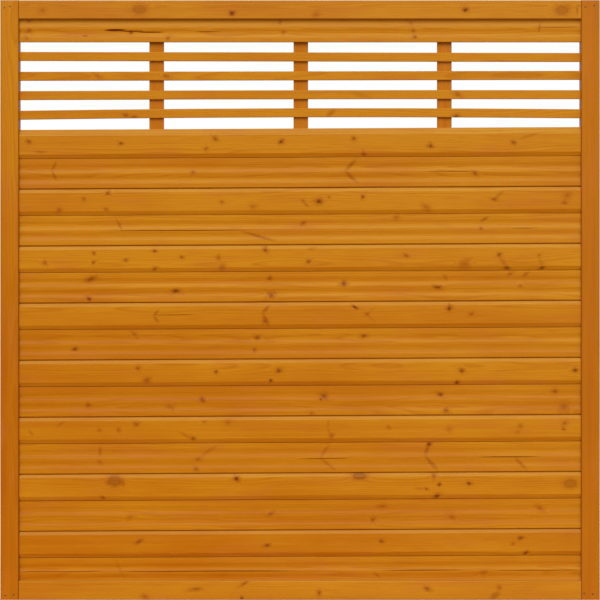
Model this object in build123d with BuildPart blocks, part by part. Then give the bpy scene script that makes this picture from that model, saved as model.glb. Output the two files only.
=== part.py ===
"""A 1.8 m square softwood fence panel: horizontal boards in a grooved frame, with a lattice at the top.

Millimetres. +Z is up, X runs along the boards and the front faces -Y.
The origin is the middle of the panel's foot.
"""

import os

from build123d import *

os.makedirs("parts", exist_ok=True)

# Frame
panel_width = 1800.0
panel_height = 1800.0
frame_depth = 45.0
stile_width = 56.5
rail_height = 56.5
frame_arris = 3.5
tenon_play = 0.1

# Groove round the inside of the frame, for the ends of boards and slats, nearer to the frame's front
groove_depth = 20.0
groove_play = 0.5
board_end_play = 2.0

# Boards: what each kind covers, and its section
board_thickness = 16.0
board_setback = 6.0
flat_cover = 78.9
flat_top_bevel_height = 9.5
flat_foot_bevel_height = 11.5
flat_bevel_slope = 0.476
flat_edge_round = 6.0
wave_cover = 92.5
wave_setback = 3.0
wave_depth = 3.0
wave_top_band = 12.5
wave_lip_height = 14.0
wave_lip_round = 3.0
wave_lip_recess = 1.5
wave_edge_round = 1.5
cove_count = 2

# The boards have settled askew in their grooves: each one rises this far from its left end to its right end,
# and the lowest board is planed level with the bottom rail's groove, by this much at its middle
board_rise = 9.0
lowest_board_trim = 1.0

# Tongue along the top of a board, groove along its bottom, and an open joint line in front of it
tongue_height = 7.0
tongue_play = 0.25
tongue_tip_play = 1.0
flat_joint_line = 2.0
wave_joint_line = 3.0

# The first flat board's slope rises this far above its shoulder, where the others have their tongue
first_slope_rise = 9.3

# The board under the top rail is a level wave board ripped to this height, with its lip planed square
top_board_height = 87.0
top_board_play = 1.0
top_board_trim = 4.0

# Lattice: the thin slats have moved since they were nailed, so each one's left end, middle and right end
# lie a little above or below its even place, listed from the lowest slat up, and each upright stands
# a little to the right of its even place, listed from the left
lattice_least_height = 250.0
slat_height = 27.0
slat_thickness = 9.0
slat_gap_wanted = 30.0
slat_arris = 2.0
slat_wander = [(-4.3, 3.4, 0.3), (-2.3, 0.5, 0.6), (-1.5, -0.1, 1.5), (1.1, -0.4, -2.2)]
upright_count = 3
upright_wander = [1.0, 2.5, 2.0]
upright_width = 44.0
upright_thickness = 12.0
upright_arris = 1.5
upright_lap = 70.0
upright_head_play = 1.0

# Nails
nail_shank_radius = 1.0
nail_head_thickness = 1.0
nail_hole_play = 0.1
nail_tip_play = 0.5
corner_nail_length = 30.0
corner_nail_head_radius = 2.25
corner_nail_sink = 0.2
lattice_nail_length = 18.0
lattice_nail_head_radius = 2.5

# Where the frame's nails sit, driven by eye: shares of the stile's width in from the panel's side
# and of the tenon's height in from the panel's end
corner_nail_shares = {
    ("left", "top"): [(0.23, 0.63), (0.53, 0.53)],
    ("right", "top"): [(0.77, 0.57), (0.31, 0.45)],
    ("left", "bottom"): [(0.27, 0.36), (0.72, 0.43)],
    ("right", "bottom"): [(0.84, 0.53), (0.39, 0.47)],
}

# Frame members and the groove they share
front_y = -frame_depth / 2
groove_width = board_thickness + 2 * groove_play
slat_groove_width = slat_thickness + 2 * groove_play
opening_width = panel_width - 2 * stile_width
opening_top = panel_height - rail_height
tenon_height = rail_height - groove_depth
tenon_thickness = groove_width - 2 * tenon_play
board_length = opening_width + 2 * (groove_depth - board_end_play)

# Board section, measured across the thickness: every board lies flush at the back
flat_face = front_y + board_setback
board_back = flat_face + board_thickness
board_middle = (flat_face + board_back) / 2
slat_middle = board_back - slat_thickness / 2
flat_top_shoulder = flat_face + flat_bevel_slope * flat_top_bevel_height
flat_foot_shoulder = flat_face + flat_bevel_slope * flat_foot_bevel_height
wave_face = flat_face + wave_setback
tongue_thickness = board_thickness / 3
tongue_back = board_back - tongue_thickness / 2
tongue_front = tongue_back - tongue_thickness
tongue_slot_depth = tongue_height + tongue_tip_play
cove_width = (wave_cover - wave_top_band - wave_lip_height) / cove_count

# The stack of boards, from the bottom rail's groove up, measured plumb at the boards' middle, and the lattice
# opening it leaves
stack_bearing = rail_height - groove_depth
stack_foot = stack_bearing - lowest_board_trim
plumb = (board_length**2 + board_rise**2) ** 0.5 / board_length
pair_cover = (wave_cover + flat_cover) * plumb
top_board_foot = opening_top + groove_depth - top_board_play - top_board_height
stack_room = top_board_foot - lattice_least_height - first_slope_rise - stack_foot
pair_count = int(stack_room // pair_cover)
stack_top = stack_foot + pair_count * pair_cover + first_slope_rise
lattice_height = top_board_foot - stack_top
slat_count = round((lattice_height - slat_gap_wanted) / (slat_height + slat_gap_wanted))
slat_gap = (lattice_height - slat_count * slat_height) / (slat_count + 1)

# Uprights stand in nearly equal bays behind the slats, from the first flat board up to the top rail
upright_bay = (opening_width - upright_count * upright_width) / (upright_count + 1)
upright_step = upright_bay + upright_width
upright_xs = [
    (i - (upright_count - 1) / 2) * upright_step + upright_wander[i % len(upright_wander)]
    for i in range(upright_count)
]
upright_foot = stack_top - upright_lap
upright_head = opening_top - upright_head_play
upright_back = board_back + upright_thickness

# Heights at which each upright is nailed: first flat board, every slat, and a crest of the top board
slat_feet = [stack_top + slat_gap + i * (slat_height + slat_gap) for i in range(slat_count)]
slat_nail_heights = [foot + slat_height / 2 for foot in slat_feet]
flat_nail_height = stack_top - upright_lap / 2
crest_nail_height = top_board_foot - top_board_trim + wave_lip_height + cove_width


def save(builder, name):
    """Label a finished piece and write it out."""
    builder.part.label = name
    export_step(builder.part, f"parts/{name}.step")


def corner_nail_places(side, end):
    """Points on the frame's front where one corner's nails are driven."""
    side_sign = -1 if side == "left" else 1
    places = []
    for across, along in corner_nail_shares[(side, end)]:
        x = side_sign * (panel_width / 2 - across * stile_width)
        z = along * tenon_height
        places.append((x, front_y, z if end == "bottom" else panel_height - z))
    return places


def nail_planes(places, from_front):
    """Planes at nail heads, with Z pointing back out along the nail."""
    out = (0, -1, 0) if from_front else (0, 1, 0)
    return [Plane(origin=place, x_dir=(1, 0, 0), z_dir=out) for place in places]


def lattice_nail_places(heights):
    """Points on the uprights' backs where nails are driven at the given heights."""
    return [(x, upright_back, z) for x in upright_xs for z in heights]


def drill_corner_nails(places):
    """Holes for the frame's nails, with a seat under each head."""
    with Locations(nail_planes(places, from_front=True)):
        CounterBoreHole(
            radius=nail_shank_radius + nail_hole_play,
            counter_bore_radius=corner_nail_head_radius + nail_hole_play,
            counter_bore_depth=corner_nail_sink + nail_head_thickness,
            depth=corner_nail_sink + corner_nail_length + nail_tip_play,
        )


def drill_lattice_nails(heights):
    """Holes for the lattice's nails, from the uprights' backs through to the piece in front."""
    with Locations(nail_planes(lattice_nail_places(heights), from_front=False)):
        CounterBoreHole(
            radius=nail_shank_radius + nail_hole_play,
            counter_bore_radius=lattice_nail_head_radius + nail_hole_play,
            counter_bore_depth=nail_head_thickness,
            depth=lattice_nail_length + nail_tip_play,
        )


def drive_nails(planes, head_radius, length, sink):
    """A flat-headed nail on each plane, sunk by the given depth."""
    below_plane = (Align.CENTER, Align.CENTER, Align.MAX)
    with Locations([plane.offset(-sink) for plane in planes]):
        Cylinder(head_radius, nail_head_thickness, align=below_plane)
        Cylinder(nail_shank_radius, length, align=below_plane)


# Stiles: full height, grooved for the slats on the inner edge, the groove wider where boards end,
# and slotted through at both ends for the tenons
for side, side_sign in (("left", -1), ("right", 1)):
    stile_x = side_sign * (panel_width - stile_width) / 2
    with BuildPart() as stile:
        with BuildSketch(Plane.XY):
            with Locations((stile_x, 0)):
                RectangleRounded(stile_width, frame_depth, frame_arris)
            with Locations((side_sign * opening_width / 2, slat_middle)):
                Rectangle(2 * groove_depth, slat_groove_width, mode=Mode.SUBTRACT)
        extrude(amount=panel_height)
        stack_end = stack_top + side_sign * board_rise / 2
        for foot, head in ((0, stack_end + groove_play), (top_board_foot - groove_play, panel_height)):
            with Locations((side_sign * opening_width / 2, board_middle, (foot + head) / 2)):
                Box(2 * groove_depth, groove_width, head - foot, mode=Mode.SUBTRACT)
        for tenon_z in (tenon_height / 2, panel_height - tenon_height / 2):
            with Locations((stile_x, board_middle, tenon_z)):
                Box(stile_width, groove_width, tenon_height, mode=Mode.SUBTRACT)
        drill_corner_nails(corner_nail_places(side, "top") + corner_nail_places(side, "bottom"))
    save(stile, f"{side}_stile")

# Rails: between the stiles, grooved on the inner edge, with a through tenon at each end
for end, middle_z, inner_z, tenon_z in (
    ("top", panel_height - rail_height / 2, opening_top, panel_height - tenon_height / 2),
    ("bottom", rail_height / 2, rail_height, tenon_height / 2),
):
    with BuildPart() as rail:
        with BuildSketch(Plane.YZ.offset(-opening_width / 2)):
            with Locations((0, middle_z)):
                RectangleRounded(frame_depth, rail_height, frame_arris)
            with Locations((board_middle, inner_z)):
                Rectangle(groove_width, 2 * groove_depth, mode=Mode.SUBTRACT)
        extrude(amount=opening_width)
        tenon_x = (opening_width + stile_width) / 2
        with Locations((-tenon_x, board_middle, tenon_z), (tenon_x, board_middle, tenon_z)):
            Box(stile_width, tenon_thickness, tenon_height)
        drill_corner_nails(corner_nail_places("left", end) + corner_nail_places("right", end))
    save(rail, f"{end}_rail")


def board_plane(foot, rise):
    """Plane of a board's left end, its origin at the foot, facing along the board to its right end."""
    left_foot = (-board_length / 2, 0, foot - rise / 2)
    return Plane(origin=left_foot, x_dir=(0, 1, 0), z_dir=(board_length, 0, rise))


def slot_edge(front_cheek, joint_line):
    """Bottom edge of a board from front to back: a cheek, the slot for a tongue, and the bearing cheek."""
    slot_front = tongue_front - tongue_play
    slot_back = tongue_back + tongue_play
    Polyline(
        (front_cheek, joint_line),
        (slot_front, joint_line),
        (slot_front, tongue_slot_depth),
        (slot_back, tongue_slot_depth),
        (slot_back, 0),
        (board_back, 0),
    )


def tongue_edge(shoulder, front_shoulder):
    """Top edge of a board from back to front, round its tongue."""
    Polyline(
        (board_back, shoulder),
        (tongue_back, shoulder),
        (tongue_back, shoulder + tongue_height),
        (tongue_front, shoulder + tongue_height),
        (tongue_front, shoulder),
        (front_shoulder, shoulder),
    )


def wave_edge():
    """Front of a wave board from the top down: a flat band, coves between crests, and a rounded lip."""
    half_depth = wave_face + wave_depth / 2
    valley = wave_face + wave_depth
    first_crest = wave_cover - wave_top_band
    last_crest = wave_lip_height
    Line((wave_face, wave_cover), (wave_face, first_crest))
    TangentArc((wave_face, first_crest), (half_depth, first_crest - cove_width / 4), tangent=(0, -1))
    for i in range(cove_count):
        cove_top = first_crest - i * cove_width
        cove_in = (half_depth, cove_top - cove_width / 4)
        cove_middle = (valley, cove_top - cove_width / 2)
        cove_out = (half_depth, cove_top - 3 * cove_width / 4)
        ThreePointArc(cove_in, cove_middle, cove_out)
        if i < cove_count - 1:
            crest = (wave_face, cove_top - cove_width)
            ThreePointArc(cove_out, crest, (half_depth, cove_top - 5 * cove_width / 4))
    TangentArc((wave_face, last_crest), (half_depth, last_crest + cove_width / 4), tangent=(0, 1))
    lip_start = (wave_face, wave_joint_line + wave_lip_round)
    Line((wave_face, last_crest), lip_start)
    TangentArc(lip_start, (wave_face + wave_lip_recess, wave_joint_line), tangent=(0, -1))


def wave_section(plane):
    """Section of a whole wave board, with its tongue."""
    with BuildSketch(plane) as section:
        with BuildLine():
            wave_edge()
            slot_edge(wave_face + wave_lip_recess, wave_joint_line)
            Line((board_back, 0), (board_back, wave_cover))
            tongue_edge(wave_cover, wave_face)
        make_face()
        front_corners = section.vertices().group_by(Axis.X)[0]
        fillet(front_corners.sort_by(Axis.Y)[-1], radius=wave_edge_round)
    return section.sketch


def flat_section(plane, weathered):
    """Section of a flat board: bevelled long edges, and a tongue or, on the first board, a long slope."""
    with BuildSketch(plane) as section:
        with BuildLine():
            slot_edge(flat_foot_shoulder, flat_joint_line)
            if weathered:
                slope_top = flat_cover + first_slope_rise
                bevel_end = (flat_top_shoulder + flat_bevel_slope * first_slope_rise, slope_top)
                Polyline((board_back, 0), (board_back, slope_top), bevel_end)
            else:
                bevel_end = (flat_top_shoulder, flat_cover)
                Line((board_back, 0), (board_back, flat_cover))
                tongue_edge(flat_cover, flat_top_shoulder)
            Polyline(
                bevel_end,
                (flat_face, flat_cover - flat_top_bevel_height),
                (flat_face, flat_joint_line + flat_foot_bevel_height),
                (flat_foot_shoulder, flat_joint_line),
            )
        make_face()
        fillet(section.vertices().group_by(Axis.X)[0], radius=flat_edge_round)
    return section.sketch


# Boards: pairs of a wave board and a flat board above it, numbered from the top down
for pair in range(pair_count):
    number = pair_count - pair
    wave_foot = stack_foot + pair * pair_cover
    with BuildPart() as wave_board:
        extrude(wave_section(board_plane(wave_foot, board_rise)), amount=board_length)
        if pair == 0:
            split(bisect_by=Plane.XY.offset(stack_bearing), keep=Keep.TOP)
    save(wave_board, f"wave_board_{number}")

    flat_plane = board_plane(wave_foot + wave_cover * plumb, board_rise)
    with BuildPart() as flat_board:
        extrude(flat_section(flat_plane, weathered=number == 1), amount=board_length)
        if number == 1:
            drill_lattice_nails([flat_nail_height])
    save(flat_board, f"flat_board_{number}")

# Top board: a wave board ripped at both edges, the upper one in the top rail's groove
with BuildPart() as top_board:
    extrude(wave_section(board_plane(top_board_foot - top_board_trim, 0)), amount=board_length)
    split(bisect_by=Plane.XY.offset(top_board_foot), keep=Keep.TOP)
    split(bisect_by=Plane.XY.offset(top_board_foot + top_board_height), keep=Keep.BOTTOM)
    drill_lattice_nails([crest_nail_height])
save(top_board, "top_wave_board")

# Lattice slats, numbered from the top down, their ends in the stiles' grooves
for i, slat_foot in enumerate(slat_feet):
    wander = slat_wander[i % len(slat_wander)]
    with BuildPart() as slat:
        for x, rise in zip((-board_length / 2, 0, board_length / 2), wander):
            with BuildSketch(Plane.YZ.offset(x)):
                with Locations((slat_middle, slat_foot + slat_height / 2 + rise)):
                    RectangleRounded(slat_thickness, slat_height, slat_arris)
        loft()
        drill_lattice_nails([slat_nail_heights[i]])
    save(slat, f"lattice_slat_{slat_count - i}")

# Lattice uprights, numbered from the left, against the backs of slats and boards
upright_nail_heights = [flat_nail_height, *slat_nail_heights, crest_nail_height]
for i, upright_x in enumerate(upright_xs):
    with BuildPart() as upright:
        with BuildSketch(Plane.XY.offset(upright_foot)):
            with Locations((upright_x, board_back + upright_thickness / 2)):
                RectangleRounded(upright_width, upright_thickness, upright_arris)
        extrude(amount=upright_head - upright_foot)
        drill_lattice_nails(upright_nail_heights)
    save(upright, f"lattice_upright_{i + 1}")

# Nails: two in each corner of the frame, one at each crossing of the lattice
with BuildPart() as corner_nails:
    for side, end in corner_nail_shares:
        planes = nail_planes(corner_nail_places(side, end), from_front=True)
        drive_nails(planes, corner_nail_head_radius, corner_nail_length, corner_nail_sink)
save(corner_nails, "corner_nails")

with BuildPart() as lattice_nails:
    planes = nail_planes(lattice_nail_places(upright_nail_heights), from_front=False)
    drive_nails(planes, lattice_nail_head_radius, lattice_nail_length, 0.0)
save(lattice_nails, "lattice_nails")

print("pairs of boards", pair_count, "slats", slat_count, "gap between slats", round(slat_gap, 2))
print("top of the stack", round(stack_top, 2), "foot of the top board", round(top_board_foot, 2))
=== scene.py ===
# %% [markdown]
# # A horizontal board fence panel with a lattice top
#
# The panel is a pine frame with boards that lie in grooves, stained a warm honey colour. Its shape comes
# from the CAD model, and this lesson gives every piece the look of real wood. It begins with the packed
# model, because all that follows is placed against it, and measures the box round it.

# %% Load the imported panel
import math
import random
from types import SimpleNamespace

import bmesh
import bpy
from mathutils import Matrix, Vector


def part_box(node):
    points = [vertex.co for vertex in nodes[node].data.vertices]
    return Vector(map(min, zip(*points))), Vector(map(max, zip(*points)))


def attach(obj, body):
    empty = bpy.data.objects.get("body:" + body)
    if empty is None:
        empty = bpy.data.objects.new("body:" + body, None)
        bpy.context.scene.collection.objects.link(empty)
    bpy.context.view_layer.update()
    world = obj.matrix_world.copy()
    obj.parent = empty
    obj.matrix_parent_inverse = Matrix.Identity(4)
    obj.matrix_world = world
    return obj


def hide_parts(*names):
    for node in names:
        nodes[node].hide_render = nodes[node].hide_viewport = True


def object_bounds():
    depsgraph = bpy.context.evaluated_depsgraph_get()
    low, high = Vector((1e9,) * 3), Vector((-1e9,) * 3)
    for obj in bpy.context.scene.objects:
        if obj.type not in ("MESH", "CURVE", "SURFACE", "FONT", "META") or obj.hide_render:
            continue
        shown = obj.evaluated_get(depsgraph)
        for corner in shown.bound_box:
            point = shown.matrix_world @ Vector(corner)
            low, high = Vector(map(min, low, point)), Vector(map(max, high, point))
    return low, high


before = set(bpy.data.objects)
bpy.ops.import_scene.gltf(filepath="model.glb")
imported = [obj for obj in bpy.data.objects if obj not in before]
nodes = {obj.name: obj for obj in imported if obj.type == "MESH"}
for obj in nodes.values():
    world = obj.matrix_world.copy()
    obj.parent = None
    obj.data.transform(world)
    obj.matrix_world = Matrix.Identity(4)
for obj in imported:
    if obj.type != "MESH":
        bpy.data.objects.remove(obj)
cad_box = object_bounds()
MM = 0.001
panel_width = cad_box[1].x - cad_box[0].x
panel_height = cad_box[1].z
front_y = cad_box[0].y
print("panel", [round(high - low, 3) for low, high in zip(*cad_box)], "metres in", len(nodes), "nodes")

# %% [markdown]
# ## The camera
#
# The photograph looks straight at the panel from half its height, and the frame just fills the picture. A
# long lens from far away keeps the boards parallel, while a near one would show the lattice from below. The
# lens is worked out from the distance and from the width of panel that the picture takes in.

# %% Camera
VIEW_DISTANCE = 6.2
VIEW_MARGIN = 0.0003
SENSOR_WIDTH = 36.0

camera_data = bpy.data.cameras.new("camera")
camera_data.sensor_width = SENSOR_WIDTH
camera_data.lens = SENSOR_WIDTH * VIEW_DISTANCE / (panel_width + VIEW_MARGIN)
camera = bpy.data.objects.new("camera", camera_data)
camera.location = (0.0, front_y - VIEW_DISTANCE, panel_height / 2)
camera.rotation_euler = (math.radians(90.0), 0.0, 0.0)
bpy.context.scene.collection.objects.link(camera)
bpy.context.scene.camera = camera
bpy.context.scene.view_settings.view_transform = "Standard"
print("lens", round(camera_data.lens, 1), "mm at", [round(value, 2) for value in camera.location])

# %% [markdown]
# ## Shader maths in plain expressions
#
# A material is a graph of small nodes, and writing it link by link is hard to read. This class wraps one
# socket, so that ordinary Python arithmetic adds the Math nodes. Every other node comes from one method,
# which sets the node's choices first, because they decide which sockets it has.

# %% A socket in an expression
class Signal:
    """One socket of a node tree, as a value in an expression."""

    def __init__(self, socket):
        self.socket = socket
        self.tree = socket.id_data

    def node(self, kind, settings=None, sockets=None, output=0):
        """Adds a node: its settings come first, and then each socket gets a value or a link."""
        made = self.tree.nodes.new("ShaderNode" + kind)
        for name, value in (settings or {}).items():
            if name == "stops":
                set_stops(made.color_ramp, value)
            else:
                setattr(made, name, value)
        for name, value in (sockets or {}).items():
            if isinstance(value, Signal):
                self.tree.links.new(value.socket, made.inputs[name])
            else:
                made.inputs[name].default_value = value
        return Signal(made.outputs[output])

    def reckon(self, operation, first, second):
        return self.node("Math", {"operation": operation}, {0: first, 1: second})

    def __add__(self, other):
        return self.reckon("ADD", self, other)

    def __sub__(self, other):
        return self.reckon("SUBTRACT", self, other)

    def __rsub__(self, other):
        return self.reckon("SUBTRACT", other, self)

    def __mul__(self, other):
        return self.reckon("MULTIPLY", self, other)

    def __truediv__(self, other):
        return self.reckon("DIVIDE", self, other)

    def __abs__(self):
        return self.node("Math", {"operation": "ABSOLUTE"}, {0: self})

    __radd__ = __add__
    __rmul__ = __mul__

    def larger(self, other):
        return self.reckon("MAXIMUM", self, other)

    def ease(self, start, end, low=0.0, high=1.0):
        """A smooth step: low at start and before it, high at end and after it."""
        sockets = {"Value": self, "From Min": start, "From Max": end, "To Min": low, "To Max": high}
        return self.node("MapRange", {"interpolation_type": "SMOOTHSTEP"}, sockets)

    def tint(self, under, over):
        """This value as the share of the colour over that covers the colour under."""
        return self.node("Mix", {"data_type": "RGBA"}, {0: self, 6: under, 7: over}, output=2)


def set_stops(ramp, stops):
    """Gives a colour ramp grey stops, as (place, value) pairs."""
    while len(ramp.elements) < len(stops):
        ramp.elements.new(1.0)
    for element, (place, value) in zip(ramp.elements, stops):
        element.position = place
        element.color = (value, value, value, 1.0)


print("shader maths ready")

# %% [markdown]
# ## Light and floor
#
# The photograph was taken in broad soft daylight from the front and above. One sun lamp with a wide disc
# gives that direction and soft edges to the shadows, evenly from the top of the panel to its foot, and the
# world fills the shadows. A long soft lamp lights the back, which the sun doesn't reach. What the camera
# sees past the panel is plain white, which the Light Path node keeps apart from the light that falls on the
# wood.

# %% World and lamps
FILL_STRENGTH = 0.74
FILL_COLOUR = (1.0, 0.98, 0.95, 1.0)
PLAIN_WHITE = (1.0, 1.0, 1.0, 1.0)
SUN_STRENGTH = 1.82
SUN_HEIGHT_DEGREES = 38.0
SUN_SIDE_DEGREES = -5.0
SUN_DISC_DEGREES = 40.0
BACK_LAMP_WATTS = 60.0
BACK_LAMP_WIDTH = 5.0
BACK_LAMP_HEIGHT = 1.2
BACK_LAMP_PLACE = (-0.5, 3.0, 3.2)


def picture_rays(tree):
    """1 for the camera's rays, straight, mirrored or through glass, and 0 for rays that only light."""
    rays = tree.nodes.new("ShaderNodeLightPath").outputs
    seen = Signal(rays["Is Camera Ray"])
    seen = seen.larger(Signal(rays["Is Glossy Ray"]))
    return seen.larger(Signal(rays["Is Transmission Ray"]))


world = bpy.data.worlds.new("studio")
world.use_nodes = True
world.node_tree.nodes.clear()
in_picture = picture_rays(world.node_tree)
fill = in_picture.node("Background", {}, {"Color": FILL_COLOUR, "Strength": FILL_STRENGTH})
backdrop = in_picture.node("Background", {}, {"Color": PLAIN_WHITE, "Strength": 1.0})
surroundings = in_picture.node("MixShader", {}, {0: in_picture, 1: fill, 2: backdrop})
world_output = world.node_tree.nodes.new("ShaderNodeOutputWorld")
world.node_tree.links.new(surroundings.socket, world_output.inputs["Surface"])
bpy.context.scene.world = world

sun_data = bpy.data.lights.new("sun", "SUN")
sun_data.energy = SUN_STRENGTH
sun_data.angle = math.radians(SUN_DISC_DEGREES)
sun = bpy.data.objects.new("sun", sun_data)
sun.rotation_euler = (math.radians(90.0 - SUN_HEIGHT_DEGREES), 0.0, math.radians(SUN_SIDE_DEGREES))
bpy.context.scene.collection.objects.link(sun)

back_lamp_data = bpy.data.lights.new("back_lamp", "AREA")
back_lamp_data.shape = "RECTANGLE"
back_lamp_data.size = BACK_LAMP_WIDTH
back_lamp_data.size_y = BACK_LAMP_HEIGHT
back_lamp_data.energy = BACK_LAMP_WATTS
back_lamp = bpy.data.objects.new("back_lamp", back_lamp_data)
back_lamp.location = BACK_LAMP_PLACE
back_lamp_direction = Vector((0.0, 0.0, panel_height / 2)) - back_lamp.location
back_lamp.rotation_euler = back_lamp_direction.to_track_quat("-Z", "Y").to_euler()
back_lamp.visible_camera = False
bpy.context.scene.collection.objects.link(back_lamp)
print("sun", SUN_STRENGTH, "over a fill of", FILL_STRENGTH)

# %% [markdown]
# The floor is a plain pale disc. In the photograph the lowest boards are lit from below as well, so the
# floor in front of the panel throws back more light there than further off. To the camera it is the same
# pale grey all over, and it keeps the panel's shadow.

# %% Floor
FLOOR_RADIUS = 40.0
FLOOR_SEEN = (0.86, 0.86, 0.85, 1.0)
FLOOR_NEAR = (0.33, 0.326, 0.318, 1.0)
FLOOR_FAR = (0.16, 0.16, 0.155, 1.0)
NEAR_ENDS = 0.9
FAR_BEGINS = 1.8

floor_material = bpy.data.materials.new("floor_paint")
floor_material.use_nodes = True
floor_tree = floor_material.node_tree
floor_shader = floor_tree.nodes["Principled BSDF"]
floor_shader.inputs["Roughness"].default_value = 0.9
floor_shader.inputs["Specular IOR Level"].default_value = 0.1
floor_place = Signal(floor_tree.nodes.new("ShaderNodeTexCoord").outputs["Object"])
from_panel = floor_place.node("VectorMath", {"operation": "LENGTH"}, {0: floor_place}, output=1)
bounce = from_panel.ease(NEAR_ENDS, FAR_BEGINS).tint(FLOOR_NEAR, FLOOR_FAR)
floor_colour = picture_rays(floor_tree).tint(bounce, FLOOR_SEEN)
floor_tree.links.new(floor_colour.socket, floor_shader.inputs["Base Color"])

floor_mesh = bpy.data.meshes.new("floor")
floor_form = bmesh.new()
bmesh.ops.create_circle(floor_form, cap_ends=True, segments=96, radius=FLOOR_RADIUS)
floor_form.to_mesh(floor_mesh)
floor_form.free()
floor_mesh.materials.append(floor_material)
floor = bpy.data.objects.new("floor", floor_mesh)
bpy.context.scene.collection.objects.link(floor)
print("floor", 2 * FLOOR_RADIUS, "metres across")

# %% [markdown]
# ## Knots, streaks and drying cracks
#
# Each board has its own knots, and they tell one board from the next. They could be scattered by chance,
# but the pattern is what makes this panel itself, so the lists name them one by one, as a joiner would mark
# them with a pencil. A place is given in millimetres from the panel's middle and above the floor. The
# sizes of knots and the widths of streaks run from the middle to where they fade out.

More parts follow.
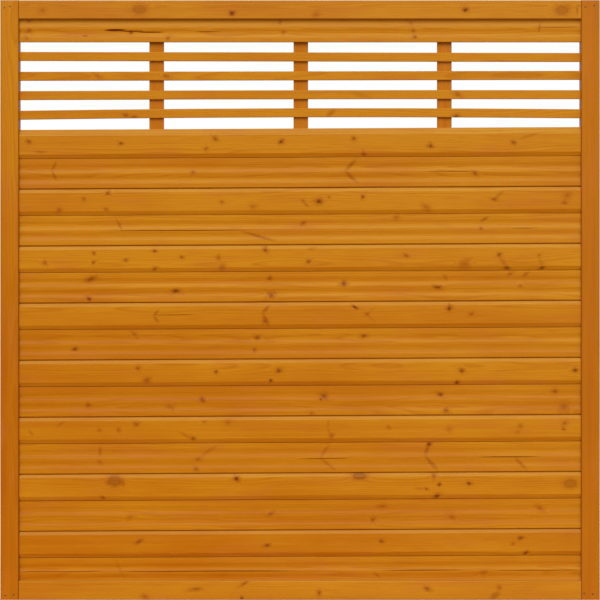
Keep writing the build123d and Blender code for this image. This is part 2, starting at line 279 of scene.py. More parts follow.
# %% Knots: across, up, length, height, darkness
KNOTS = {
    "top_rail": ((-772, 1768, 16, 12, 0.3), (-481, 1772, 34, 24, 0.45), (-204, 1761, 16, 13, 1),
                 (48, 1756, 16, 12, 0.3), (496, 1770, 15, 12, 1), (787, 1770, 34, 24, 0.45)),
    "bottom_rail": ((-312, 33, 30, 9, 0.55), (-466, 10, 18, 12, 0.45), (-168, 49, 24, 7, 0.6),
                    (-174, 6, 8, 8, 0.95), (57, 21, 12, 14, 0.6), (382, 34, 18, 11, 0.6),
                    (598, 38, 12, 10, 0.45)),
    "top_wave_board": ((-814, 1709, 14, 11, 0.5), (-814, 1738, 11, 9, 0.35),
                       (-823, 1687, 14, 9, 0.35), (-508, 1705, 10, 8, 0.9), (-397, 1687, 12, 8, 0.5),
                       (-60, 1735, 10, 8, 0.35), (-50, 1705, 11, 9, 0.35), (333, 1732, 10, 8, 0.3),
                       (340, 1709, 10, 8, 0.5), (346, 1690, 10, 7, 0.8)),
    "flat_board_1": ((-814, 1375, 14, 11, 0.7), (-538, 1370, 12, 9, 0.85), (-255, 1384, 14, 10, 0.65),
                     (-282, 1355, 10, 8, 0.5), (-57, 1375, 14, 11, 1), (162, 1385, 12, 10, 0.85),
                     (192, 1339, 13, 9, 0.6), (393, 1363, 14, 10, 0.85), (641, 1373, 13, 10, 0.7)),
    "wave_board_1": ((-321, 1284, 11, 9, 0.6), (526, 1281, 13, 11, 0.55)),
    "flat_board_2": ((-577, 1221, 13, 11, 0.65), (-649, 1203, 11, 9, 0.5), (-724, 1170, 15, 10, 0.5),
                     (-583, 1173, 11, 8, 0.5), (-234, 1194, 10, 8, 0.45), (-141, 1181, 16, 12, 0.35),
                     (57, 1196, 18, 14, 0.95), (189, 1210, 10, 9, 0.9), (87, 1209, 8, 6, 0.4),
                     (379, 1179, 22, 14, 0.35), (583, 1203, 16, 8, 0.6), (795, 1192, 11, 9, 0.5),
                     (803, 1214, 22, 16, 0.3)),
    "wave_board_2": ((9, 1131, 14, 9, 0.5), (290, 1148, 15, 12, 0.35), (544, 1115, 7, 8, 0.5)),
    "flat_board_3": ((-766, 1011, 11, 9, 0.5), (-619, 1041, 11, 9, 0.6), (-619, 1014, 10, 8, 0.7),
                     (-523, 1020, 11, 9, 0.6), (-436, 1047, 11, 9, 0.85), (-436, 994, 12, 8, 0.6),
                     (-355, 1029, 11, 9, 0.6), (-104, 1050, 14, 11, 0.75), (-245, 1028, 12, 10, 0.45),
                     (26, 1016, 12, 10, 0.75), (318, 1033, 13, 8, 0.6), (598, 1036, 14, 10, 0.7),
                     (622, 996, 18, 9, 0.8), (718, 1035, 10, 7, 0.3), (727, 996, 16, 8, 0.8),
                     (495, 1007, 26, 18, 0.38)),
    "wave_board_3": ((-628, 963, 28, 13, 0.7), (-634, 903, 14, 10, 0.95), (-373, 927, 22, 11, 0.9),
                     (-91, 965, 13, 10, 0.6), (-87, 915, 18, 14, 0.65), (132, 949, 16, 13, 0.8),
                     (413, 938, 22, 10, 0.85), (631, 978, 15, 7, 0.5), (662, 943, 9, 9, 0.35)),
    "flat_board_4": ((165, 879, 20, 6, 1), (-105, 837, 15, 12, 0.45), (201, 858, 11, 8, 0.5),
                     (449, 875, 14, 11, 1), (515, 858, 15, 9, 0.5)),
    "wave_board_4": ((-499, 798, 16, 10, 0.4), (-676, 752, 13, 10, 0.85), (-129, 787, 17, 11, 0.65),
                     (-137, 750, 10, 10, 0.55), (192, 792, 16, 11, 0.65)),
    "flat_board_5": ((-487, 695, 11, 9, 0.7), (-460, 659, 18, 14, 0.6), (-252, 684, 10, 9, 0.95),
                     (-63, 688, 15, 12, 0.8), (-88, 658, 10, 8, 1), (486, 688, 15, 12, 0.75),
                     (472, 652, 13, 10, 0.95), (826, 689, 15, 12, 0.9)),
    "wave_board_5": ((-637, 584, 14, 10, 0.5), (-390, 579, 18, 11, 0.35), (-294, 601, 16, 12, 0.8),
                     (72, 612, 20, 15, 0.55), (63, 602, 6, 6, 0.95), (35, 560, 11, 9, 0.3),
                     (422, 616, 15, 11, 0.9), (439, 568, 14, 12, 0.6), (766, 626, 15, 12, 0.6),
                     (793, 578, 24, 20, 0.45)),
    "flat_board_6": ((-602, 509, 11, 9, 0.4), (-545, 509, 11, 9, 0.45), (-493, 527, 14, 11, 0.45),
                     (-321, 485, 13, 9, 0.7), (-287, 534, 10, 8, 0.3), (-216, 533, 18, 14, 0.25),
                     (95, 491, 13, 10, 0.45), (266, 518, 10, 8, 0.3), (448, 512, 14, 14, 0.2),
                     (661, 521, 14, 10, 0.38), (653, 503, 9, 7, 0.2), (792, 512, 10, 8, 0.65),
                     (795, 530, 14, 11, 0.5)),
    "wave_board_6": ((-602, 413, 13, 10, 0.25), (-306, 422, 13, 10, 0.35), (-312, 392, 12, 9, 0.5),
                     (388, 467, 13, 11, 1)),
    "flat_board_7": ((-557, 356, 36, 27, 0.62), (-592, 306, 13, 8, 0.65), (-191, 363, 15, 13, 1),
                     (179, 372, 36, 18, 0.68), (401, 373, 13, 12, 0.5), (419, 346, 11, 9, 0.9),
                     (380, 333, 11, 6, 0.7), (411, 311, 17, 11, 0.95), (508, 349, 12, 9, 0.95),
                     (812, 349, 34, 23, 0.5)),
    "wave_board_7": ((-511, 247, 16, 10, 0.25), (-87, 258, 18, 8, 0.6), (219, 240, 13, 11, 0.6),
                     (247, 280, 24, 11, 0.35), (457, 247, 18, 10, 0.32), (721, 274, 22, 11, 0.4)),
    "flat_board_8": ((-484, 174, 22, 9, 0.72), (-99, 163, 17, 9, 0.8), (245, 176, 13, 9, 0.75),
                     (662, 185, 15, 10, 0.8), (640, 168, 10, 8, 0.35), (678, 140, 16, 8, 0.95)),
    "wave_board_8": ((552, 82, 18, 9, 0.35),),
    "lattice_slat_2": ((-607, 1573, 22, 7, 0.28), (-403, 1573, 15, 8, 0.55)),
    "lattice_slat_3": ((474, 1518, 20, 10, 0.5),),
    "lattice_slat_4": ((-523, 1455, 16, 8, 0.6), (-499, 1451, 14, 7, 0.62), (469, 1452, 15, 10, 0.75)),
}
print(sum(len(places) for places in KNOTS.values()), "knots on", len(KNOTS), "pieces")

# %% Streaks: across and up at both ends, width, darkness
STREAKS = {
    "top_rail": ((832, 1754, 832, 1786, 5, 0.4),),
    "bottom_rail": ((570, 2, 600, 24, 12, 0.5),),
    "top_wave_board": ((-655, 1694, -635, 1694, 5, 0.5), (722, 1734, 717, 1704, 5, 0.45)),
    "flat_board_1": ((-800, 1345, -758, 1345, 5, 0.4), (662, 1386, 716, 1400, 6, 0.3)),
    "wave_board_1": ((-746, 1288, -732, 1316, 6, 0.45), (-746, 1288, -732, 1260, 6, 0.45),
                     (135, 1288, 171, 1324, 8, 0.5), (135, 1288, 171, 1254, 8, 0.5)),
    "flat_board_2": ((2, 1204, 18, 1190, 6, 0.45), (8, 1192, 28, 1180, 6, 0.4),
                     (583, 1203, 612, 1228, 7, 0.35)),
    "wave_board_2": ((-552, 1144, -534, 1108, 6, 0.4), (-176, 1107, -72, 1076, 6, 0.5),
                     (541, 1136, 567, 1150, 6, 0.55)),
    "flat_board_3": ((20, 1051, 50, 1057, 7, 0.3), (598, 1031, 624, 997, 9, 0.32),
                     (718, 1031, 730, 995, 8, 0.26), (-240, 1007, -226, 991, 16, 0.4),
                     (-104, 1050, -100, 1065, 5, 0.4)),
    "wave_board_3": ((667, 971, 690, 985, 7, 0.5), (430, 977, 444, 959, 7, 0.35)),
    "flat_board_4": ((-440, 853, -424, 870, 6, 0.5), (-440, 853, -424, 832, 6, 0.5),
                     (-92, 884, -113, 860, 7, 0.55), (-113, 860, -94, 822, 7, 0.55),
                     (201, 858, 226, 878, 5, 0.2), (201, 858, 226, 832, 5, 0.2),
                     (449, 875, 447, 894, 5, 0.4)),
    "wave_board_5": ((62, 618, 82, 600, 5, 0.4),),
    "flat_board_6": ((-816, 509, -800, 493, 6, 0.35), (-733, 518, -705, 538, 6, 0.32),
                     (87, 541, 82, 517, 6, 0.26), (82, 517, 95, 489, 6, 0.26),
                     (-366, 506, -322, 482, 7, 0.3), (-500, 516, -478, 536, 6, 0.3)),
    "wave_board_6": ((-601, 461, -601, 431, 6, 0.45), (-303, 426, -246, 466, 7, 0.28),
                     (60, 426, 88, 465, 7, 0.36), (60, 426, 106, 389, 7, 0.36),
                     (388, 467, 375, 433, 8, 0.5), (375, 433, 412, 389, 8, 0.5),
                     (646, 426, 680, 391, 7, 0.45)),
    "flat_board_7": ((-533, 359, -530, 339, 7, 0.45), (340, 334, 376, 333, 4, 0.35)),
    "wave_board_8": ((-558, 122, -526, 64, 6, 0.2), (220, 82, 240, 66, 5, 0.4)),
    "lattice_slat_3": ((152, 1524, 216, 1509, 9, 0.25),),
    "lattice_slat_4": ((78, 1452, 107, 1471, 9, 0.45),),
}
print(sum(len(places) for places in STREAKS.values()), "streaks")

# %% Cracks: from, to, up in the middle, width, depth
BOARD_RISE = 9.0
BOARD_LENGTH = 1723.0
BOARD_SLOPE = BOARD_RISE / BOARD_LENGTH

CRACKS = {
    "top_wave_board": ((-584, -527, 1711, 3.2, 3.6), (-538, -474, 1708, 1.8, 2), (-486, -413, 1705, 1.9, 2),
                       (-310, -244, 1707, 0.9, 0.7), (722, 838, 1720, 1.1, 1)),
    "wave_board_1": ((390, 523, 1287, 1.2, 1),),
    "wave_board_2": ((-552, -176, 1109, 1.4, 1.2), (637, 709, 1116, 0.9, 0.7)),
    "flat_board_4": ((-433, -320, 855, 1.1, 1),),
    "wave_board_6": ((10, 142, 424, 1.2, 1), (547, 709, 429, 1.4, 1.2)),
    "wave_board_8": ((-841, -592, 84, 1.1, 1), (-541, -3, 85, 1.3, 1.1), (256, 493, 88, 1.2, 1),
                     (589, 841, 88, 1.2, 1)),
}
print(sum(len(places) for places in CRACKS.values()), "cracks")

# %% [markdown]
# ## Stained pine
#
# Pine shows bands of soft pale wood and hard dark wood, the tree's yearly rings, cut lengthwise by the saw.
# The material carries that tree as a solid: the rings are circles round a pith behind or before the board,
# so the same values give straight lines on a face, arches where the saw runs along a ring, and arcs on an
# end. A knot pushes the rings aside. The stain darkens the hard wood, the knots and above all the ends,
# where the fibres drink it.

# %% Colours of the stain and of painted shade
def stain(red, green, blue):
    """The linear colour of a stain that is seen as these screen values."""
    shares = [value / 255.0 for value in (red, green, blue)]
    linear = [((share + 0.055) / 1.055) ** 2.4 if share > 0.04045 else share / 12.92 for share in shares]
    return (*linear, 1.0)


HONEY = stain(210, 136, 17)
AMBER = stain(194, 110, 5)
ROSE = stain(204, 116, 40)
LATE_WOOD = stain(176, 90, 4)
KNOT_HALO = stain(186, 92, 8)
KNOT_WOOD = stain(112, 46, 4)
STREAK_WOOD = stain(142, 60, 0)
# Crack colour: the cracks' own darker wood, with painted shade.
CRACK_WOOD_AND_SHADE = stain(126, 36, 0)
# Painted shade for the joints.
JOINT_SHADE = stain(128, 54, 0)
END_WOOD = stain(150, 80, 14)
# Faded stain on the rails, and painted sheen and painted bevel highlights elsewhere.
FADED_AND_SHEEN_WOOD = stain(214, 148, 62)
print("stain of", [round(value, 3) for value in HONEY[:3]], "to", [round(value, 3) for value in AMBER[:3]])

# %% [markdown]
# A knot, a streak or a crack is an ellipse on the face of the board. One Mapping node moves, turns and
# stretches space so that the ellipse becomes a circle of radius 1, and the length of that vector is the
# distance. A colour ramp then draws the knot from its middle outwards: a dark heart, a softer rim, and for
# a large knot a ring. A streak is a branch that the saw has met lengthwise. A crack has its own darker wood,
# and painted shade in it deepens with the crack's depth, so a deep crack is darker than a shallow one.

# %% Marks in the wood
KNOT_SHADES = ((0.0, 1.0), (0.2, 0.9), (0.42, 0.45), (0.7, 0.18), (1.0, 0.0))
RINGED_SHADES = ((0.0, 0.85), (0.1, 0.6), (0.3, 0.56), (0.42, 0.85), (0.54, 0.55), (0.68, 0.2), (1.0, 0.0))
RINGED_LENGTH = 34
RINGED_BLOT = 0.45
KNOT_TURN = 0.7
SWELL_REACH = 1.7
STREAK_OVERLAP = 1.2
STREAK_RIM = 1.25
STREAK_HEART = 0.15
CRACK_RIM = 1.5
CRACK_HEART = 0.6
DARKEST_DEPTH = 3.0
THROUGH_THE_BOARD = 1000.0


def mark_distance(place, centre, half_length, half_height, angle=0.0):
    """Distance from a mark's middle, 1 at its rim, for an ellipse whose long axis rises by the angle."""
    sockets = {"Vector": place, "Location": centre, "Rotation": (0.0, -angle, 0.0)}
    sockets["Scale"] = (half_length, THROUGH_THE_BOARD, half_height)
    local = place.node("Mapping", {"vector_type": "TEXTURE"}, sockets)
    return place.node("VectorMath", {"operation": "LENGTH"}, {0: local}, output=1)


def knots_in(place, blot, knots, dice):
    """The share of knot wood, and the swell that it gives the grain around it."""
    wood = 0.0
    swell = 0.0
    for across, up, length, height, darkness in knots:
        centre = (across * MM, 0.0, up * MM)
        turn = dice.uniform(-KNOT_TURN, KNOT_TURN)
        ringed = length >= RINGED_LENGTH
        distance = mark_distance(place, centre, length * MM, height * MM, 0.0 if ringed else turn)
        distance = distance * (blot * RINGED_BLOT + (1.0 - RINGED_BLOT) if ringed else blot)
        shades = RINGED_SHADES if ringed else KNOT_SHADES
        wood = (distance.node("ValToRGB", {"stops": shades}, {0: distance}) * darkness).larger(wood)
        swell = distance.ease(SWELL_REACH, 0.0) + swell
    return wood, swell


def streaks_in(place, streaks):
    """The share of dark, resin-filled wood in slanting streaks."""
    wood = 0.0
    for across, up, far_across, far_up, width, darkness in streaks:
        run = far_across - across
        rise = far_up - up
        centre = ((across + run / 2) * MM, 0.0, (up + rise / 2) * MM)
        half_length = math.hypot(run, rise) / 2 * MM * STREAK_OVERLAP
        distance = mark_distance(place, centre, half_length, width * MM, math.atan2(rise, run))
        wood = distance.ease(STREAK_RIM, STREAK_HEART, 0.0, darkness).larger(wood)
    return wood


def cracks_in(place, cracks):
    """The share of dark wood in the drying cracks, partly painted shade that deepens with the crack."""
    wood = 0.0
    for start, end, up, width, depth in cracks:
        centre = ((start + end) / 2 * MM, 0.0, up * MM)
        distance = mark_distance(place, centre, (end - start) / 2 * MM, width * MM, BOARD_SLOPE)
        # Painted shade: a deeper crack is painted darker.
        darkness = min(1.0, 0.5 + 0.5 * depth / DARKEST_DEPTH)
        wood = distance.ease(CRACK_RIM, CRACK_HEART, 0.0, darkness).larger(wood)
    return wood


print("marks ready")

# %% [markdown]
# Noise that is stretched along the grain makes everything else: fibres a millimetre or two wide, bands of
# deeper and paler stain, and slow clouds of colour. Waves are counted per metre, along the board, into it
# and across it. The rings come from the distance to the pith, with a little of the same noise, because no
# tree grows quite round.

# %% Grain
RAGGED_WAVES = (110.0, 110.0, 110.0)
RAGGED_PUSH = 0.005
WANDER_WAVES = (1.3, 5.0, 5.0)
WANDER_ACROSS = 0.02
WANDER_INWARD = 0.03
KNOT_SWELL = 0.006
RING_WIDTHS = (0.0024, 0.0042)
PITH_TO_THE_SIDE = 0.07
PITH_DEPTHS = (0.03, 0.09)
RING_SHADES = ((0.0, 0.0), (0.5, 0.15), (0.86, 1.0), (1.0, 0.0))


def stretched_noise(place, waves, detail=3.0):
    """Noise from 0 to 1, with so many waves per metre along each axis."""
    stretched = place.node("VectorMath", {"operation": "MULTIPLY"}, {0: place, 1: waves})
    sockets = {"Vector": stretched, "Scale": 1.0, "Detail": detail, "Roughness": 0.55}
    return place.node("TexNoise", {}, sockets)


def ragged(place):
    """The place, shifted a little to and fro, so that what is drawn on it has no clean rim."""
    push = (stretched_noise(place, RAGGED_WAVES, 2.0) - 0.5) * RAGGED_PUSH
    offset = place.node("CombineXYZ", {}, {0: push, 2: push})
    return place.node("VectorMath", {"operation": "ADD"}, {0: place, 1: offset})


def year_rings(along, inward, across, swell, dice, middle):
    """Hard late wood from 0 to 1, on rings round a pith that lies behind or before the piece."""
    ring_width = dice.uniform(*RING_WIDTHS)
    pith_across = middle + dice.uniform(-PITH_TO_THE_SIDE, PITH_TO_THE_SIDE)
    pith_inward = dice.choice((1.0, 1.0, -1.0)) * dice.uniform(*PITH_DEPTHS)
    tree_place = along.node("CombineXYZ", {}, {0: along, 1: inward, 2: across})
    wander = stretched_noise(tree_place, WANDER_WAVES, 2.0) - 0.5
    sideways = across - pith_across + wander * WANDER_ACROSS
    from_pith = along.node("CombineXYZ", {}, {0: inward - pith_inward + wander * WANDER_INWARD, 1: sideways})
    radius = along.node("VectorMath", {"operation": "LENGTH"}, {0: from_pith}, output=1)
    rings = (radius + swell * KNOT_SWELL) / ring_width
    year = rings.node("Math", {"operation": "FRACT"}, {0: rings})
    return year.node("ValToRGB", {"stops": RING_SHADES}, {0: year})


print("grain ready")

# %% [markdown]
# The coats of stain will ask the wood many questions: how deep the grain drinks here, how near a knot is,
# which way the surface faces. One function finds the answers for one piece and hands them on together.
# Every piece throws its own dice, seeded with its name, so it has its own tree and looks the same at every
# run.

# %% The wood of one piece
FIBRE_WAVES = (16.0, 520.0, 520.0)
BAND_WAVES = (0.9, 55.0, 70.0)
CLOUD_WAVES = (2.4, 10.0, 10.0)
BLUSH_WAVES = (5.0, 30.0, 24.0)
BLOT_WAVES = (70.0, 70.0, 110.0)
BLOT_LEAST = 0.4
BLOT_SPREAD = 1.2
ELSEWHERE = 9.0
END_STEP = (0.6, 0.9, 0.0, 0.75)
UPWARD = (0.0, 0.0, 1.0)
RIGHTWARD = (1.0, 0.0, 0.0)


def facing(place, normal, direction):
    """1 where the surface faces this way, -1 where it faces the other way."""
    return place.node("VectorMath", {"operation": "DOT_PRODUCT"}, {0: normal, 1: direction}, output=1)


def grown_wood(name, tree):
    """What can be known of a place in one piece: its directions, the grain, the rings and the knots."""
    dice = random.Random(name)
    low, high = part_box(name)
    upright = high.z - low.z > high.x - low.x
    place = Signal(tree.nodes.new("ShaderNodeTexCoord").outputs["Object"])
    axes = place.node("SeparateXYZ", {}, {0: place}).socket.node.outputs
    right, inward, up = (Signal(axes[axis]) for axis in "XYZ")
    along, across = (up, right) if upright else (right, up)
    if name.startswith(("flat_board", "wave_board")):
        across = across - along * BOARD_SLOPE
    middle = (low.x + high.x) / 2 if upright else (low.z + high.z) / 2

    grain_along = along + dice.uniform(-ELSEWHERE, ELSEWHERE)
    grain_inward = inward + dice.uniform(-ELSEWHERE, ELSEWHERE)
    grain_place = place.node("CombineXYZ", {}, {0: grain_along, 1: grain_inward, 2: across})
    marked = ragged(place)
    blot = stretched_noise(marked, BLOT_WAVES) * BLOT_SPREAD + BLOT_LEAST
    knot_wood, swell = knots_in(marked, blot, KNOTS.get(name, ()), dice)
    ring_along = along + dice.uniform(-ELSEWHERE, ELSEWHERE)
    late = year_rings(ring_along, inward, across, swell, dice, middle)

    normal = place.node("NewGeometry", {}, {}, output=1)
    facing_end = facing(place, normal, UPWARD if upright else RIGHTWARD)
    end = abs(facing_end).ease(*END_STEP)
    return SimpleNamespace(
        low=low, high=high, upright=upright, place=place, right=right, up=up, along=along, across=across,
        marked=marked, knot_wood=knot_wood, swell=swell, late=late, end=end,
        facing_up=facing(place, normal, UPWARD),
        fibre=stretched_noise(grain_place, FIBRE_WAVES),
        bands=stretched_noise(grain_place, BAND_WAVES, 4.0),
        clouds=stretched_noise(grain_place, CLOUD_WAVES, 2.0),
        blush=stretched_noise(grain_place, BLUSH_WAVES, 2.0),
    )


print("wood ready")

# %% [markdown]
# The stain runs from honey to amber, and where it went in deepest it is darker still. Painted light and
# sheen make it paler towards the top and the right of the panel, and the stiles paler towards their tops;
# the rails are faded a little, and a painted highlight lies on the upper bevels of the flat boards. On four
# of the wave boards painted shade lies on the slopes that face up, so their waves look flatter. The hard
# wood of the rings and the fibres take more of it and draw the fine lines. A step holds where it starts
# and ends, and its two shares.

# %% Coats of stain, painted light and painted shade
BAND_SHARE = 1.2
CLOUD_SHARE = 1.8
# Painted light: the lying pieces are painted paler towards the right of the panel.
PAINTED_LIGHT_RIGHTWARD = 0.16
DEEPEST_STEP = (1.0, 2.0, 0.0, 0.8)
# Painted light: the stiles are painted paler towards the top, where the light is stronger.
STILE_PAINTED_LIGHT_HEIGHTS = (0.75, 1.55)
STILE_PAINTED_LIGHT = {"left_stile": 1.1, "right_stile": 0.4}
# Painted shade on the slopes that face up on four wave boards.
PAINTED_SLOPE_SHADE = {"wave_board_4": 0.7, "wave_board_5": 1.0, "wave_board_6": 1.0, "wave_board_7": 1.5}
# Painted sheen: paler and cooler towards the top and the right of the panel.
PAINTED_SHEEN_UPWARD = (0.3, 1.8, 0.0, 0.08)
PAINTED_SHEEN_RIGHTWARD = (-0.7, 0.9, 0.0, 0.07)
FADED_RAIL = 0.09
# Painted highlight on the upper bevels of the flat boards.
PAINTED_BEVEL_HIGHLIGHT = 0.5
BLUSH_STEP = (0.5, 0.75, 0.0, 0.4)
LATE_SHARE = 0.38
FIBRE_STEP = (0.45, 0.75, 0.0, 0.34)


def stained(name, wood, depth):
    """The colour of the stained wood, with painted light and shade but without its marks: a depth of 0 is
    honey, and 1 is amber.
    """
    tone = (wood.bands - 0.5) * BAND_SHARE + (wood.clouds - 0.5) * CLOUD_SHARE + depth
    # Painted shade: slopes that face up are painted deeper, so the waves look flatter.
    if name in PAINTED_SLOPE_SHADE:
        tone = tone + wood.facing_up * PAINTED_SLOPE_SHADE[name]
    # Painted light: each stile is painted paler towards its top.
    if name in STILE_PAINTED_LIGHT:
        tone = tone - wood.along.ease(*STILE_PAINTED_LIGHT_HEIGHTS, 0.0, STILE_PAINTED_LIGHT[name])
    # Painted light: paler towards the right of the panel.
    if not wood.upright:
        tone = tone - wood.along * PAINTED_LIGHT_RIGHTWARD
    colour = tone.tint(HONEY, AMBER)
    colour = tone.ease(*DEEPEST_STEP).tint(colour, LATE_WOOD)

    # Painted sheen towards the top and the right; the rails are faded a little.
    faded_and_sheen = wood.up.ease(*PAINTED_SHEEN_UPWARD) + wood.right.ease(*PAINTED_SHEEN_RIGHTWARD)
    if name.endswith("_rail"):
        faded_and_sheen = faded_and_sheen + FADED_RAIL
    # Painted highlight: surfaces that face up are painted paler.
    if name.startswith("flat_board"):
        faded_and_sheen = faded_and_sheen + wood.facing_up * PAINTED_BEVEL_HIGHLIGHT
    colour = faded_and_sheen.tint(colour, FADED_AND_SHEEN_WOOD)

    colour = wood.blush.ease(*BLUSH_STEP).tint(colour, ROSE)
    colour = (wood.late * LATE_SHARE).tint(colour, LATE_WOOD)
    return wood.fibre.ease(*FIBRE_STEP).tint(colour, LATE_WOOD)


print("coats of stain ready")

# %% [markdown]
# Streaks and knots lie over the stain. Painted shade darkens the open joint under each wave board and
# the inner edges of the stiles. Painted light makes the slopes that face up a yellower tone, while those
# that face down stay redder. All of this reads the surface itself, so it stays right from every side.

# %% Marks, painted joint shade and painted light
HALO_SHARE = 0.34
# Painted shade along the stiles' inner edges and in the slot under each wave board.
STILE_EDGE_SHADE = (0.004, 0.001, 0.0, 0.6)
BOARD_JOINT_SHADE = (0.005, 0.003, 0.0, 0.6)
JOINT_BELOW_TOP = 0.104
# Painted light: slopes that face up are painted yellower, those that face down redder.
PAINTED_SLOPE_TINT = 0.24


def marks_and_joint_shade(name, wood, colour):
    """The colour with streaks and knots laid over it, and painted shade in the joints."""
    if name in STREAKS:
        colour = streaks_in(wood.marked, STREAKS[name]).tint(colour, STREAK_WOOD)
    if name in KNOTS:
        colour = (wood.swell * HALO_SHARE).tint(colour, KNOT_HALO)
        colour = wood.knot_wood.tint(colour, KNOT_WOOD)
    # Painted shade along the inner edge of the stile.
    if name.endswith("_stile"):
        inner_edge = min(abs(wood.low.x), abs(wood.high.x))
        from_edge = abs(wood.across) - inner_edge
        colour = from_edge.ease(*STILE_EDGE_SHADE).tint(colour, JOINT_SHADE)
    # Painted shade in the slot under the wave board.
    if name.startswith("wave_board"):
        above_joint = wood.across - (wood.high.z - JOINT_BELOW_TOP)
        colour = above_joint.ease(*BOARD_JOINT_SHADE).tint(colour, JOINT_SHADE)
    return colour


def painted_light_cracks_and_ends(name, wood, colour):
    """The colour with painted light on the slopes, and over it the cracks with their painted shade and the
    end grain, which are darker.
    """
    # Painted light: less red where the surface faces up.
    painted_tint = wood.place.node("CombineXYZ", {}, {0: 1.0 - wood.facing_up * PAINTED_SLOPE_TINT, 1: 1.0, 2: 1.0})
    colour = wood.place.node("VectorMath", {"operation": "MULTIPLY"}, {0: colour, 1: painted_tint})
    # The cracks: their own darker wood, with painted shade that deepens with the crack.
    if name in CRACKS:
        colour = cracks_in(wood.place, CRACKS[name]).tint(colour, CRACK_WOOD_AND_SHADE)
    return wood.end.tint(colour, END_WOOD)


print("marks and daylight ready")

# %% [markdown]
# The material puts these together. Fibres and hard rings stand out by a fraction of a millimetre, knots
# have sunk in, and a bump is enough for that. The stain is thin and matt, so the wood has hardly any shine,
# and its ends have still less.

# %% The material
SHINE = 0.065
SMOOTHEST = 0.24
FIBRE_ROUGHNESS = 0.16
END_ROUGHNESS = 0.3
FIBRE_HEIGHT = 0.6
RING_HEIGHT = 0.4
KNOT_DIP = 0.5
RELIEF = {"Strength": 0.3, "Distance": 0.0004}


def stained_pine(name, depth):
    """Pine with its own tree, knots and tone, for one piece."""
    material = bpy.data.materials.new(name + "_pine")
    material.use_nodes = True
    tree = material.node_tree
    wood = grown_wood(name, tree)
    colour = stained(name, wood, depth)
    colour = marks_and_joint_shade(name, wood, colour)
    colour = painted_light_cracks_and_ends(name, wood, colour)

    height = wood.fibre * FIBRE_HEIGHT + wood.late * RING_HEIGHT
    if name in KNOTS:
        height = height - wood.knot_wood * KNOT_DIP
    bump = wood.place.node("Bump", {}, {"Height": height, **RELIEF})
    roughness = wood.fibre * FIBRE_ROUGHNESS + SMOOTHEST + wood.end * END_ROUGHNESS
    shader = tree.nodes["Principled BSDF"]
    shader.inputs["Specular IOR Level"].default_value = SHINE
    tree.links.new(colour.socket, shader.inputs["Base Color"])
    tree.links.new(roughness.socket, shader.inputs["Roughness"])
    tree.links.new(bump.socket, shader.inputs["Normal"])
    return material


print("stained pine ready")

# %% [markdown]
# ## Boards with open cracks
#
# Along the crests of some boards the wood has dried and split. A line of paint would stay flat in a low
# sun, so these cracks are cut into the mesh: a copy of the board gets three cuts along the crack and many
# across it, and the vertices of the middle line are pushed in to make a narrow valley that wanders with the
# grain.

# %% Cut the cracks
STATION_STEP = 12.0 * MM
FEWEST_STATIONS = 6
CRACK_TAPER = 0.1
END_NARROWING = 0.7
DRIFT_KEPT = 0.8
DRIFT_STEP = 0.7 * MM
BOARD_REACH = 0.2
FRONT_FACING = -0.5
ON_PLANE = 1e-7
TOUCHING = 1e-6
NEAR_END = 1e-4
ALONG_BOARD = Vector((1.0, 0.0, BOARD_SLOPE)).normalized()
UP_BOARD = Vector((-BOARD_SLOPE, 0.0, 1.0)).normalized()


def cut_faces(form, faces, point, normal):
    """Cuts some faces with a plane."""
    edges = {edge for face in faces for edge in face.edges}
    verts = {vert for face in faces for vert in face.verts}
    geometry = [*verts, *edges, *faces]
    bmesh.ops.bisect_plane(form, geom=geometry, dist=ON_PLANE, plane_co=point, plane_no=normal)


def front_faces(form, middle, reach):
    """Faces of the board's front that lie no further than this above or below the crack."""
    chosen = []
    for face in form.faces:
        from_crack = (face.calc_center_median() - middle).dot(UP_BOARD)
        if face.normal.y < FRONT_FACING and abs(from_crack) < reach:
            chosen.append(face)
    return chosen


def open_crack(form, crack, dice):
    """Cuts one crack into the board's front, narrow and shallow at both ends."""
    start, end, up, width, depth = (value * MM for value in crack)
    middle = Vector(((start + end) / 2, 0.0, up))
    for offset in (-width / 2, 0.0, width / 2):
        cut_faces(form, front_faces(form, middle, BOARD_REACH), middle + UP_BOARD * offset, UP_BOARD)
    count = max(FEWEST_STATIONS, round((end - start) / STATION_STEP))
    stations = [(step / count - 0.5) * (end - start) for step in range(count + 1)]
    for station in stations:
        cut_faces(form, front_faces(form, middle, width / 2), middle + ALONG_BOARD * station, ALONG_BOARD)
    drifts = [0.0]
    for station in stations[1:]:
        drifts.append(DRIFT_KEPT * drifts[-1] + dice.uniform(-DRIFT_STEP, DRIFT_STEP))
    form.normal_update()
    for vert in form.verts:
        offset = (vert.co - middle).dot(UP_BOARD)
        share = (vert.co - middle).dot(ALONG_BOARD) / (end - start) + 0.5
        in_crack = abs(offset) <= width / 2 + TOUCHING and NEAR_END < share < 1.0 - NEAR_END
        if vert.normal.y > FRONT_FACING or not in_crack:
            continue
        taper = min(1.0, share / CRACK_TAPER, (1.0 - share) / CRACK_TAPER)
        drift = drifts[round(share * count)]
        vert.co += UP_BOARD * (offset * END_NARROWING * (taper - 1.0) + drift * taper)
        if abs(offset) < width / 4:
            vert.co.y += depth * taper


print("cracks ready")

# %% [markdown]
# Each cracked copy then stands for its plain board. The narrow new faces would bend the shading of the wide
# ones beside them, so every normal is an average in which a face counts by its area.

# %% Boards that stand for the plain ones
SHARP_ANGLE = math.radians(24.0)
FLAT_ANGLE = math.radians(0.2)


def corner_normal(loop):
    """The shading normal at one corner of a face: wide faces count most, and sharp edges stay sharp."""
    total = Vector()
    for face in loop.vert.link_faces:
        if face.normal.angle(loop.face.normal, 0.0) < SHARP_ANGLE:
            total += face.normal * face.calc_area()
    return total.normalized()


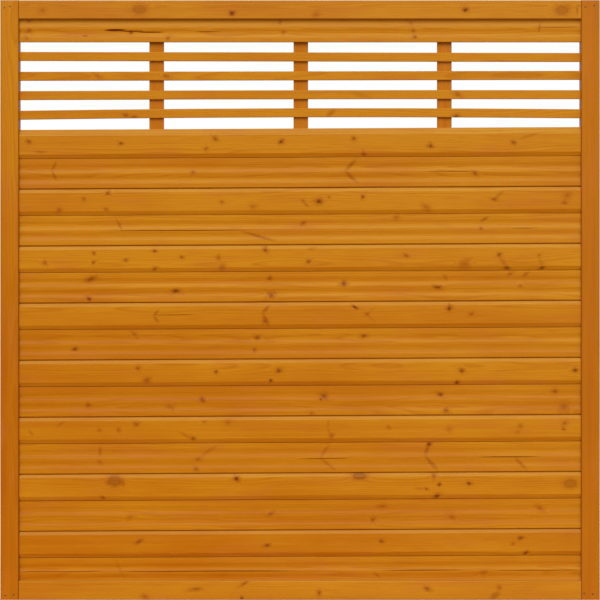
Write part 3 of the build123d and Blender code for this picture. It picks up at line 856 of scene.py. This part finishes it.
def cracked_board(name):
    """A copy of a board with its cracks cut in, which stands for the board."""
    dice = random.Random(name)
    form = bmesh.new()
    form.from_mesh(nodes[name].data)
    bmesh.ops.remove_doubles(form, verts=form.verts, dist=TOUCHING)
    bmesh.ops.dissolve_limit(form, angle_limit=FLAT_ANGLE, verts=form.verts, edges=form.edges)
    for crack in CRACKS[name]:
        form.normal_update()
        open_crack(form, crack, dice)
    for face in form.faces:
        face.smooth = True
    form.normal_update()
    normals = [corner_normal(loop) for face in form.faces for loop in face.loops]
    mesh = bpy.data.meshes.new(name + "_cracked")
    form.to_mesh(mesh)
    form.free()
    mesh.materials.clear()
    mesh.normals_split_custom_set(normals)
    piece = bpy.data.objects.new(name + "_cracked", mesh)
    bpy.context.scene.collection.objects.link(piece)
    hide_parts(name)
    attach(piece, "root")
    return piece


cracked = {name: cracked_board(name) for name in CRACKS}
print("cracked boards", {name: len(piece.data.polygons) for name, piece in cracked.items()})

# %% [markdown]
# ## Wood on the frame, the boards and the lattice
#
# Every piece was cut from another place in another tree, so each gets a material of its own. How deep the
# stain went differs from piece to piece: the stiles took the most, then the uprights, and among the boards
# the lowest.

# %% Dress the wood
DEPTHS = {
    "left_stile": 1.4, "right_stile": 1.5,
    "top_rail": 0.35, "bottom_rail": 0.3, "top_wave_board": -0.25,
    "flat_board_1": 0.16, "flat_board_2": 0.22, "flat_board_3": 0.12, "flat_board_4": 0.36,
    "flat_board_5": 0.26, "flat_board_6": 0.46, "flat_board_7": 0.33, "flat_board_8": 0.72,
    "wave_board_1": 0.32, "wave_board_2": 0.08, "wave_board_3": 0.38, "wave_board_4": 0.46,
    "wave_board_5": 0.58, "wave_board_6": 0.45, "wave_board_7": 0.52, "wave_board_8": 0.67,
    "lattice_slat_1": 0.05, "lattice_slat_2": 0.05, "lattice_slat_3": 0.1, "lattice_slat_4": 0.15,
    "lattice_upright_1": 0.95, "lattice_upright_2": 0.95, "lattice_upright_3": 0.95,
}
for name, depth in DEPTHS.items():
    pine = stained_pine(name, depth)
    if name in cracked:
        cracked[name].data.materials.append(pine)
    else:
        nodes[name].material_slots[0].material = pine
print("dressed", len(DEPTHS), "pieces of wood")

# %% [markdown]
# ## Nails
#
# The nails are plain steel that the stain has run over, so they are dull and brown, with a little metal
# left. Smooth metal would glint at this size, so a fine noise breaks up both the colour and the shine.

# %% Dress the nails
DULL_STEEL = stain(66, 50, 38)
STAINED_STEEL = stain(70, 38, 16)
RUST_WAVES = (700.0, 700.0, 700.0)
RUST_STEP = (0.35, 0.65)
NAIL_SMOOTHEST = 0.4
RUST_ROUGHNESS = 0.3

nail_material = bpy.data.materials.new("stained_nail")
nail_material.use_nodes = True
nail_tree = nail_material.node_tree
nail_place = Signal(nail_tree.nodes.new("ShaderNodeTexCoord").outputs["Object"])
rust = stretched_noise(nail_place, RUST_WAVES)
nail_colour = rust.ease(*RUST_STEP).tint(DULL_STEEL, STAINED_STEEL)
nail_shader = nail_tree.nodes["Principled BSDF"]
nail_shader.inputs["Metallic"].default_value = 0.3
nail_tree.links.new(nail_colour.socket, nail_shader.inputs["Base Color"])
nail_tree.links.new((rust * RUST_ROUGHNESS + NAIL_SMOOTHEST).socket, nail_shader.inputs["Roughness"])
for name in ("corner_nails", "lattice_nails"):
    nodes[name].material_slots[0].material = nail_material
print("dressed the nails")
